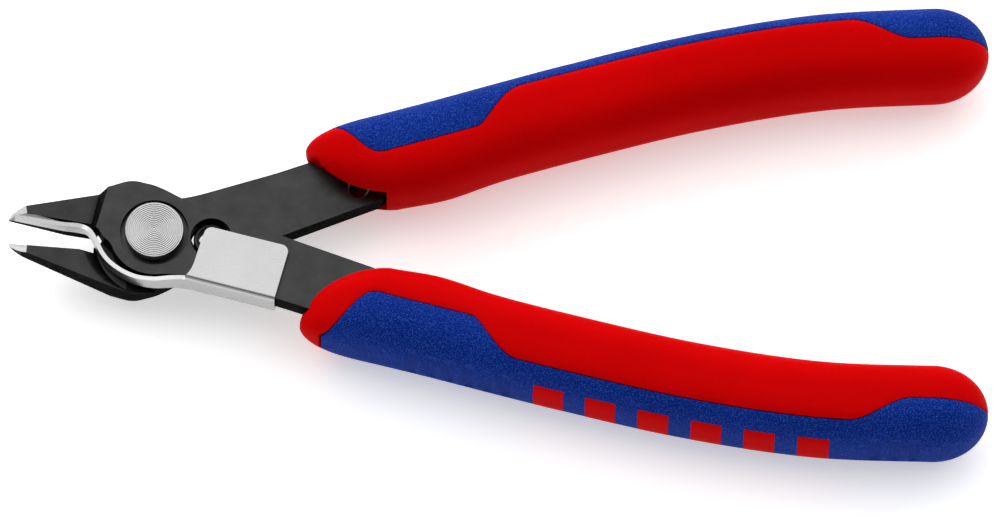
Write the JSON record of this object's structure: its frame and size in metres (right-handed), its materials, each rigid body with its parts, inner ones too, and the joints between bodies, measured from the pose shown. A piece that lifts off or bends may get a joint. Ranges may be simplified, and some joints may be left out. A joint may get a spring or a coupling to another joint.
{
  "type": "flush cutter",
  "caption": "Flush cutter for electronics work with upswept jaws, a sheet lead catcher, a sprung bolted lap joint and curved two-component grips.",
  "frame": {"origin": "on the pivot axis, at the outer face of the nut and bolt end on the underside", "axes": "+X from the pivot to the handle ends along the middle of the open tool, +Y to the rear lever's handle, +Z along the pivot axis to the bolt head"},
  "size_m": [0.1244, 0.0596, 0.013],
  "materials": {
    "burnished_steel": "oil-blackened and burnished, satin, bright where the jaw tips are ground",
    "turned_steel": "bright face with fine concentric turning marks",
    "spring_wire": "drawn spring wire, dark",
    "sheet_steel": "satin stainless sheet",
    "hard_grip": "moulded, finely grained satin",
    "soft_grip": "moulded soft component, fine leather-like grain"
  },
  "bodies": {
    "front": {"front_lever": "burnished_steel", "pivot_bolt": "turned_steel", "pivot_nut": "burnished_steel", "opening_spring": "spring_wire", "lead_catcher": "sheet_steel", "front_grip_body": "hard_grip", "front_grip_pad": "soft_grip"},
    "rear": {"rear_lever": "burnished_steel", "rear_grip_body": "hard_grip", "rear_grip_pad": "soft_grip"}
  },
  "joints": [
    {"name": "pivot", "type": "hinge", "parent": "front", "child": "rear", "pos_m": [0, 0, 0.0039], "axis": [0, 0, -1], "range_deg": [0, 9.2], "stiffness_Nm_per_rad": 0.6, "springref_deg": -22.92, "deforming": ["opening_spring"]}
  ]
}
